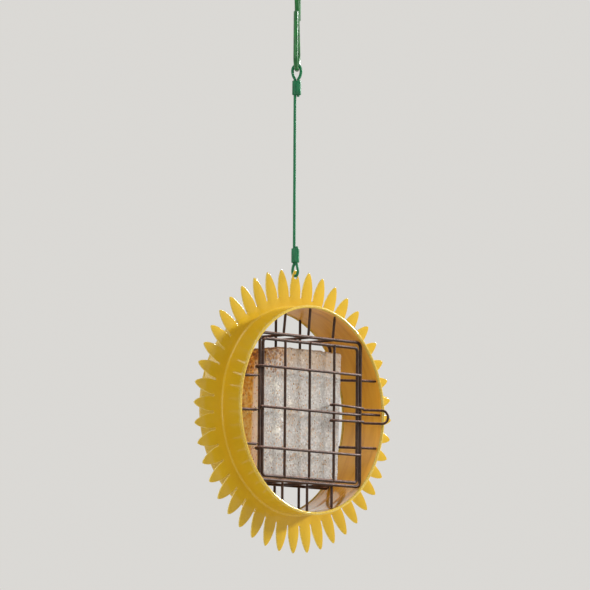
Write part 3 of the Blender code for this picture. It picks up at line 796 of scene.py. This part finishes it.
def petal_tree():
    """The flange's petals: one pressed sector, repeated round the ring and joined to its neighbours."""
    inputs = {"Sector": "Geometry", "Petals": "Int", "Join Distance": "Float", "Coat": "Material"}
    tree, add, given = new_group("petal_ring", inputs, "Flange")
    points = add("GeometryNodePoints", {"Count": (given, "Petals")})
    number = add("GeometryNodeInputIndex")
    step = add("DIVIDE", [2 * pi, (given, "Petals")])
    angle = add("MULTIPLY", [number, step])
    turn = add("ShaderNodeCombineXYZ", {"Y": angle})
    ring = add(SCATTER, {"Points": points, "Instance": (given, "Sector"), "Rotation": turn})
    close_group(add, given, ring, join=(given, "Join Distance"))
    return tree


def make_flange():
    values = {"Petals": PETALS, "Join Distance": SECTORS_MEET, "Coat": enamel}
    source = placed("petals_before_hole", grown("petal_ring", petal_sector(), petal_tree(), values))
    # The punched hole for the cable, in the top petal
    work = bmesh.new()
    where = Matrix.Translation((0, 0, HOLE_HEIGHT)) @ Matrix.Rotation(pi / 2, 4, "X")
    bmesh.ops.create_cone(work, cap_ends=True, segments=40, radius1=HOLE_RADIUS, radius2=HOLE_RADIUS,
                          depth=PUNCH_DEPTH, matrix=where)
    punch = placed("punch", bpy.data.meshes.new("punch"))
    work.to_mesh(punch.data)
    work.free()
    cut = source.modifiers.new("hole", "BOOLEAN")
    cut.object = punch
    cut.solver = "EXACT"
    mesh = baked(source)
    bpy.data.objects.remove(punch, do_unlink=True)
    mesh.transform(Matrix.Translation(RING))
    finished("petal_flange_pressed", mesh, enamel, "feeder", "petal_flange", sharp=35)
    # The fold where the flange meets the tube: a small round corner, full of coat, with a painted highlight
    # along it
    low, high = BAND_RADIUS - FOLD_OVERLAP, BAND_RADIUS + FOLD
    face = FLANGE_SHEET / 2
    steps, profile = 6, []
    for k in range(steps + 1):
        turn = pi / 2 * k / steps
        profile.append((BAND_RADIUS + FOLD * (1 - sin(turn)), face + FOLD * (1 - cos(turn))))
    profile += [(low, face + FOLD), (low, face - FOLD_OVERLAP), (high, face - FOLD_OVERLAP)]
    for name, side in (("fold_front", -1), ("fold_back", 1)):
        mesh = turned(name, [(radius, side * depth, FOLD_HIGHLIGHT) for radius, depth in profile])
        finished(name, mesh, enamel, "feeder", sharp=50)


def smooth_route(stops):
    """Points on one smooth curve through the stops."""
    ends = [2 * stops[0] - stops[1], *stops, 2 * stops[-1] - stops[-2]]
    points = []
    for a, b, c, d in zip(ends, ends[1:], ends[2:], ends[3:]):
        t1 = sqrt((b - a).length)
        t2 = t1 + sqrt((c - b).length)
        t3 = t2 + sqrt((d - c).length)
        steps = max(ROPE_LEAST, ceil((c - b).length / ROPE_STEP))
        for k in range(steps):
            t = t1 + (t2 - t1) * k / steps
            ab, bc = a.lerp(b, t / t1), b.lerp(c, (t - t1) / (t2 - t1))
            cd = c.lerp(d, (t - t2) / (t3 - t2))
            abc, bcd = ab.lerp(bc, t / t2), bc.lerp(cd, (t - t1) / (t3 - t1))
            points.append(abc.lerp(bcd, (t - t1) / (t2 - t1)))
    return points + [stops[-1]]


def loop_stops(centre, up, half, fall, across):
    """Places along one of the rope's loops, from one strand's sleeve round to the other's."""
    straight, steps = 0.0012, 4
    neck = STRAND + (half - STRAND) * 0.6
    # Each place beside the loop: how far along from its middle, and how far aside
    side = [(-fall, STRAND), (straight - fall, STRAND), (-fall * 0.64, neck), (-fall * 0.3, half)]
    stops = [centre + up * along - across * aside for along, aside in side]
    for k in range(steps + 1):
        angle = pi * (1 - k / steps)
        stops.append(centre + up * (half * sin(angle)) + across * (half * cos(angle)))
    return stops + [centre + up * along + across * aside for along, aside in reversed(side)]


def rope_route():
    """The rope, from its end in the lower sleeve through both loops to its end in the upper."""
    lower = loop_stops(UP * (HOLE_PIVOT_Z + LOWER_HALF), -UP, LOWER_HALF, LOWER_RISE - LOWER_HALF,
                       Vector((0, 1, 0)))
    upper = loop_stops(UP * HOOK_LOW, UP, UPPER_HALF, UPPER_FALL, HOOK_ACROSS)
    through, past = UP * FERRULE_HEIGHT, UP * (FERRULE_HEIGHT + ROPE_PAST)
    stops = [lower[0] + past, *lower, lower[-1] + through, lower[-1] + past]
    stops += [upper[0] - past, upper[0] - through, *upper, upper[-1] - past]
    return smooth_route(stops)


def swept(name, path, radius_at):
    """A closed tube along a path. radius_at gives its radius at each (distance, angle)."""
    points = []
    along = (path[1] - path[0]).normalized()
    across = along.orthogonal().normalized()
    gone = 0.0
    for i, point in enumerate(path):
        before, after = path[max(i - 1, 0)], path[min(i + 1, len(path) - 1)]
        ahead = (after - before).normalized()
        across = (along.rotation_difference(ahead) @ across).normalized()
        along = ahead
        if i:
            gone += (point - path[i - 1]).length
        other = along.cross(across)
        for k in range(ROPE_SIDES):
            angle = 2 * pi * k / ROPE_SIDES
            outward = across * cos(angle) + other * sin(angle)
            points.append(point + outward * radius_at(gone, angle))
    faces = ring_faces(len(path), ROPE_SIDES, closed=False)
    last = len(points)
    faces += [tuple(reversed(range(ROPE_SIDES))), tuple(range(last - ROPE_SIDES, last))]
    return closed_mesh(name, points, faces)


def make_hanger():
    """Wire rope under a thin coat: six strands, a turn every 14 mm, so its outline is finely twisted."""
    path = rope_route()

    def strands(gone, angle):
        crest = abs(cos(3 * (angle - 2 * pi * gone / ROPE_LAY)))
        return CABLE * (0.955 + 0.045 * crest)

    mesh = swept("wire_rope", path, strands)
    rope = finished("wire_rope", mesh, rope_coat, "hanger", "hanger_cable", sharp=60)
    upper_base = HOOK_LOW - UPPER_FALL - FERRULE_HEIGHT
    sleeves = [make_sleeve("lower_ferrule", HOLE_PIVOT_Z + LOWER_RISE, pi / 2),
               make_sleeve("upper_ferrule", upper_base, HOOK_TURN - pi / 2)]


def make_sleeve(node, base, turn):
    """A pressed double sleeve: oval, with soft rims, its flats pressed in between the rope's two strands."""
    bore = CABLE + GAP
    round_steps, flat_steps = 16, 10
    # Each place on the outline: the middle it curves round, and which way it faces
    outline = []
    for side in (1, -1):
        for k in range(round_steps + 1):
            angle = pi * (k / round_steps - 0.5)
            outline.append((side * STRAND, side * cos(angle), side * sin(angle)))
        outline += [(side * STRAND * (1 - 2 * k / flat_steps), 0.0, side) for k in range(1, flat_steps)]
    # Each ring: its radius, its share of the height, and how deep the press went
    rings = [(bore, share, 0.0) for share in (0.0, 0.5, 1.0)]
    for share, grow in ((1.0, -0.00032), (0.985, -0.00012), (0.95, 0.0), (0.75, 0.0), (0.5, 0.0),
                        (0.25, 0.0), (0.05, 0.0), (0.015, -0.00012), (0.0, -0.00032)):
        rings.append((bore + FERRULE_WALL + grow, share, FERRULE_PRESS))
    points = []
    for radius, share, pressed in rings:
        for middle, face_x, face_y in outline:
            x = middle + face_x * radius
            y = face_y * (radius - pressed * exp(-((x / FERRULE_PRESS_REACH) ** 2)))
            points.append((x * cos(turn) - y * sin(turn), x * sin(turn) + y * cos(turn),
                           base + share * FERRULE_HEIGHT))
    mesh = closed_mesh(f"{node}_pressed", points, ring_faces(len(rings), len(outline), closed=True))
    return finished(f"{node}_pressed", mesh, sleeve_paint, "hanger", node, sharp=50)


def make_hook():
    top, low, bend = HOOK_WIRE, HOOK_LOW, HOOK_BEND
    stops = [(-bend, low - HOOK_WIRE + HOOK_TIP), (-bend, low), (bend, low), (bend, low + bend + HOOK_RISE),
             (-bend, top - bend - HOOK_RISE), (-bend, top), (bend, top), (bend, top + HOOK_WIRE - HOOK_TIP)]
    bends = (HOOK_ROUND_BEND, HOOK_ROUND_BEND, SHANK_BEND, SHANK_BEND, HOOK_ROUND_BEND, HOOK_ROUND_BEND)
    points = filleted([HOOK_AXIS * along + UP * z for along, z in stops], bends)
    round_wire("hanger_hook", points, HOOK_WIRE, "hook", hook_vinyl, Vector(), facets=10)


def make_suet():
    """The pressed block, pecked away at one top corner, its skin pitted and grainy."""
    half = (SUET_HIGH - SUET_LOW) / 2
    work = bmesh.new()
    bmesh.ops.create_cube(work, size=1.0)
    bmesh.ops.scale(work, vec=half * 2, verts=work.verts)
    bmesh.ops.subdivide_edges(work, edges=work.edges, cuts=92, use_grid_fill=True)
    pecked = Vector((-half.x, 0, half.z))
    for vert in work.verts:
        core = Vector([max(SUET_CORNER - half[i], min(half[i] - SUET_CORNER, vert.co[i])) for i in range(3)])
        beyond = vert.co - core
        if beyond.length > SUET_CORNER:
            vert.co = core + beyond.normalized() * SUET_CORNER
        share = [vert.co[i] / half[i] for i in range(3)]
        inward = -Vector(share).normalized()
        facing = Vector([v if abs(v) > 0.97 else 0.0 for v in share])
        skin = -facing.normalized() if facing.length else inward
        broad = noise.noise(vert.co / SWELLS_APART + Vector((7, 0, 0)))
        grain = noise.fractal(vert.co / GRAINS_APART, 0.9, 2.2, 4, noise_basis="PERLIN_ORIGINAL")
        pit = max(0.0, noise.noise(vert.co / PITS_APART + Vector((0, 31, 0))) - 0.42)
        near = max(0.0, 1 - (Vector((vert.co.x, 0, vert.co.z)) - pecked).length / PECKED_REACH)
        top = max(0.0, (vert.co.z - half.z + TOP_REACH) / TOP_REACH)
        rough = GRAIN + PECKED_GRAIN * max(near, 0.6 * top)
        vert.co += inward * SWELL * (broad + 1) / 2
        vert.co += skin * (SUET_INSET + rough * grain + PIT_DEPTH * pit)
        vert.co += Vector((near, 0, -near)) * PECKED_DEPTH
        # The block has slumped aside at its top
        vert.co.x += SUET_SHIFT + SUET_LEAN * vert.co.z / half.z
    mesh = bpy.data.meshes.new("suet_block")
    work.to_mesh(mesh)
    work.free()
    mesh.transform(Matrix.Translation(RING + (SUET_LOW + SUET_HIGH) / 2))
    block = finished("suet_block", mesh, suet, "feeder", "suet_cake")
    tree = seed_tree()
    for name, count, seed, husk in (("corn_bits", 320, 5, golden_seed), ("husk_bits", 360, 11, dark_seed)):
        values = {"Count": count, "Bit Radius": SEED_BIT, "Seed": seed, "Coat": husk}
        mesh = grown(name, block.data.copy(), tree, values)
        mesh.materials.clear()
        finished(name, mesh, husk, "feeder")


def seed_tree():
    """Bits of seed half sunk in the suet's skin, lying flat as the press left them."""
    inputs = {"Skin": "Geometry", "Count": "Int", "Bit Radius": "Float", "Seed": "Int", "Coat": "Material"}
    tree, add, given = new_group("seed_bits", inputs, "Bits")
    density = add("DIVIDE", [(given, "Count"), SUET_SKIN_AREA])
    seed = (given, "Seed")
    points = add("GeometryNodeDistributePointsOnFaces", {"Mesh": (given, "Skin"), "Density": density,
                 "Seed": seed})
    bit = add("GeometryNodeMeshIcoSphere", {"Radius": (given, "Bit Radius"), "Subdivisions": 1})
    shape = add(RANDOM, {"Min": (0.7, 0.6, 0.25), "Max": (1.6, 1.1, 0.45), "Seed": seed},
                data_type="FLOAT_VECTOR")
    turn = (points, "Rotation")
    bits = add(SCATTER, {"Points": points, "Instance": bit, "Rotation": turn, "Scale": shape})
    close_group(add, given, bits)
    return tree


def seen(add):
    """1 for the rays that show the surround itself: camera, glossy and transmission."""
    ray = add("ShaderNodeLightPath")
    shown = add("MAXIMUM", [(ray, "Is Camera Ray"), (ray, "Is Glossy Ray")])
    return add("MAXIMUM", [shown, (ray, "Is Transmission Ray")])


def make_stage():
    """A pale floor well below the feeder, a pale surround, and soft lamps."""
    pale = linear("#ECEAE6")
    material, add, shader = new_material("pale_floor")
    feed(shader, {"Base Color": linear("#CECBC6"), "Roughness": 0.9})
    # The floor looks as pale as the surround far off too, and keeps the feeder's shadow
    even = add("ShaderNodeEmission", {"Color": pale, "Strength": 1.02})
    part = add("MULTIPLY", [seen(add), 0.75])
    look = add("ShaderNodeMixShader", [part, shader, even])
    # Seen from below, the floor is clear, so that a low view isn't blocked
    shape = add("ShaderNodeNewGeometry")
    clear = add("ShaderNodeBsdfTransparent")
    mixed = add("ShaderNodeMixShader", [(shape, "Backfacing"), look, clear])
    feed(material.node_tree.nodes["Material Output"], {"Surface": mixed})
    corners = [(x * FLOOR_HALF, y * FLOOR_HALF, FLOOR_Z) for x, y in ((-1, -1), (1, -1), (1, 1), (-1, 1))]
    mesh = plain_mesh("floor", corners, [(0, 1, 2, 3)])
    mesh.materials.append(material)
    placed("floor", mesh)
    world = bpy.data.worlds.new("soft_room")
    bpy.context.scene.world = world
    world.use_nodes = True
    world.node_tree.nodes.clear()
    add = partial(add_node, world.node_tree)
    light = add("ShaderNodeBackground", {"Color": linear("#EEF3FB"), "Strength": 0.22})
    backdrop = add("ShaderNodeBackground", {"Color": pale, "Strength": 0.84})
    mixed = add("ShaderNodeMixShader", [seen(add), light, backdrop])
    add("ShaderNodeOutputWorld", {"Surface": mixed})
    # The key is a long soft strip far round to the right, and rakes across the petals as low sun does.
    # The fill reaches in over the tube's rim to the block's side.
    slant, climb, far = radians(75), radians(23.2), 3.4
    key = Vector((cos(climb) * sin(slant), -cos(slant), sin(climb) * sin(slant)))
    for name, place, long, short, power in (
            ("key", key * far, 2.5, 0.24, 186.0), ("fill", Vector((-2.8, -1.45, 0.2)), 2.6, 1.5, 23.0),
            ("overhead", Vector((-0.9, -1.2, 2.4)), 1.6, 1.6, 24.0),
            ("back", Vector((-1.2, 2.2, 1.2)), 1.4, 1.4, 15.0)):
        data = bpy.data.lights.new(name, "AREA")
        data.shape = "RECTANGLE"
        data.size, data.size_y = long, short
        data.energy = power
        lamp = placed(name, data)
        lamp.location = RING + place
        toward = place.normalized()
        along = (Vector((0, 1, 0)) - toward * toward.y).normalized()
        lamp.rotation_mode = "QUATERNION"
        lamp.rotation_quaternion = Matrix((along, toward.cross(along), toward)).transposed().to_quaternion()


def make_camera():
    """The photograph's view: from the left and a little below, far off, very slightly rolled."""
    azimuth, elevation, roll = radians(-46.25), radians(-6.0), radians(0.45)
    distance, sensor, seen_width = 4.5, 36.0, 0.8565 * 0.590
    back = Vector((sin(azimuth) * cos(elevation), -cos(azimuth) * cos(elevation), sin(elevation)))
    data = bpy.data.cameras.new("camera")
    data.sensor_width = sensor
    data.lens = sensor * distance / seen_width
    data.clip_end = 100.0
    camera = placed("camera", data)
    camera.location = RING + Vector((-0.00002, 0, 0.0999)) + back * distance
    camera.rotation_mode = "QUATERNION"
    camera.rotation_quaternion = Quaternion(back, roll) @ (-back).to_track_quat("-Z", "Y")
    bpy.context.scene.camera = camera


make_camera()
make_hanger()
make_hook()
make_cage()
make_door()
make_latch()
make_welds()
make_band()
make_flange()
make_suet()
make_stage()

bpy.context.scene.view_settings.view_transform = "Standard"
